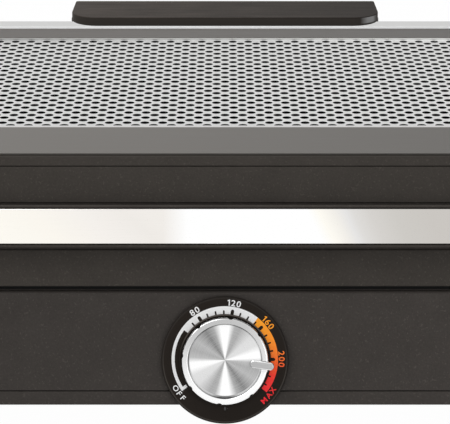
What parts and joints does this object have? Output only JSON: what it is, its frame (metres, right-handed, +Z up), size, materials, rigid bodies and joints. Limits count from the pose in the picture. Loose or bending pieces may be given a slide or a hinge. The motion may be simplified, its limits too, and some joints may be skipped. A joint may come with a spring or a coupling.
{
  "type": "smokeless indoor grill",
  "caption": "Electric countertop grill with a ribbed lift-out plate, a hinged hood with a perforated steel top, a slide-out drip tray and a round heat control.",
  "frame": {"origin": "under the middle of the grill, on the surface that its feet stand on", "axes": "+Z up, the front wall with the heat control faces -Y, +X to the right as seen from the front"},
  "size_m": [0.5296, 0.3844, 0.1514],
  "materials": {
    "charcoal_shell": "fine matt grain",
    "charcoal_rim": "matt",
    "charcoal_cover": "matt",
    "dial_black": "satin",
    "satin_steel": "satin",
    "pale_steel": "satin",
    "polished_steel": "polished",
    "knob_silver": "metallised",
    "brushed_aluminium": "spun",
    "satin_pointer": "satin",
    "coated_casting": "non-stick coating",
    "element_sheath": "oxidised",
    "bright_sheet": "bright",
    "zinc_steel": "zinc plated",
    "white_ceramic": "matt",
    "foot_rubber": "matt",
    "phenolic": "matt",
    "lens": "clear"
  },
  "bodies": {
    "base": {"base_shell": "charcoal_shell", "base_pan": "charcoal_shell", "deck": "charcoal_rim", "heat_reflector": "bright_sheet", "heating_element": "element_sheath", "terminal_block": "white_ceramic", "thermal_cutout": "phenolic", "tray_rail_left": "zinc_steel", "tray_rail_right": "zinc_steel", "dial_plate": "dial_black", "dial_collar": "dial_black", "indicator_lens": "lens", "thermostat": "phenolic", "thermostat_bracket": "zinc_steel", "hinge_ear_left": "zinc_steel", "hinge_ear_right": "zinc_steel", "hinge_pin_left": "zinc_steel", "hinge_pin_right": "zinc_steel", "cord_gland": "foot_rubber", "element_saddle_left": "white_ceramic", "element_saddle_inner_left": "white_ceramic", "element_saddle_inner_right": "white_ceramic", "element_saddle_right": "white_ceramic", "leg_front_left": "charcoal_shell", "foot_pad_front_left": "foot_rubber", "base_screw_front_left": "zinc_steel", "hood_bumper_front_left": "foot_rubber", "leg_front_right": "charcoal_shell", "foot_pad_front_right": "foot_rubber", "base_screw_front_right": "zinc_steel", "hood_bumper_front_right": "foot_rubber", "leg_rear_left": "charcoal_shell", "foot_pad_rear_left": "foot_rubber", "base_screw_rear_left": "zinc_steel", "hood_bumper_rear_left": "foot_rubber", "leg_rear_right": "charcoal_shell", "foot_pad_rear_right": "foot_rubber", "base_screw_rear_right": "zinc_steel", "hood_bumper_rear_right": "foot_rubber"},
    "hood": {"hood_shell": "charcoal_shell", "hood_rim": "charcoal_rim", "hood_frame": "satin_steel", "rear_ledge": "pale_steel", "hood_mesh": "pale_steel", "mesh_retainer": "zinc_steel", "handle_bezel": "charcoal_shell", "handle_band": "polished_steel", "hinge_leaf": "zinc_steel", "hinge_cover": "charcoal_cover", "retainer_screw_front_left": "zinc_steel", "retainer_screw_front_right": "zinc_steel", "retainer_screw_rear_left": "zinc_steel", "retainer_screw_rear_right": "zinc_steel"},
    "knob": {"knob_body": "knob_silver", "knob_face": "brushed_aluminium", "knob_pointer": "satin_pointer", "control_shaft": "zinc_steel"},
    "tray": {"drip_tray": "bright_sheet"},
    "plate": {"grill_plate": "coated_casting"}
  },
  "joints": [
    {"name": "hood_hinge", "type": "hinge", "parent": "base", "child": "hood", "pos_m": [0, 0.18567, 0.08], "axis": [-1, 0, 0], "range_deg": [0, 90]},
    {"name": "knob_turn", "type": "hinge", "parent": "base", "child": "knob", "pos_m": [0, -0.1718, 0.03801], "axis": [0, 0.9472, -0.3206], "range_deg": [-222, 28.4]},
    {"name": "tray_slide", "type": "slide", "parent": "base", "child": "tray", "axis": [0, 1, 0], "range_m": [0, 0.085]},
    {"name": "plate_lift", "type": "slide", "parent": "base", "child": "plate", "axis": [0, 0, 1], "range_m": [0, 0.04]}
  ]
}
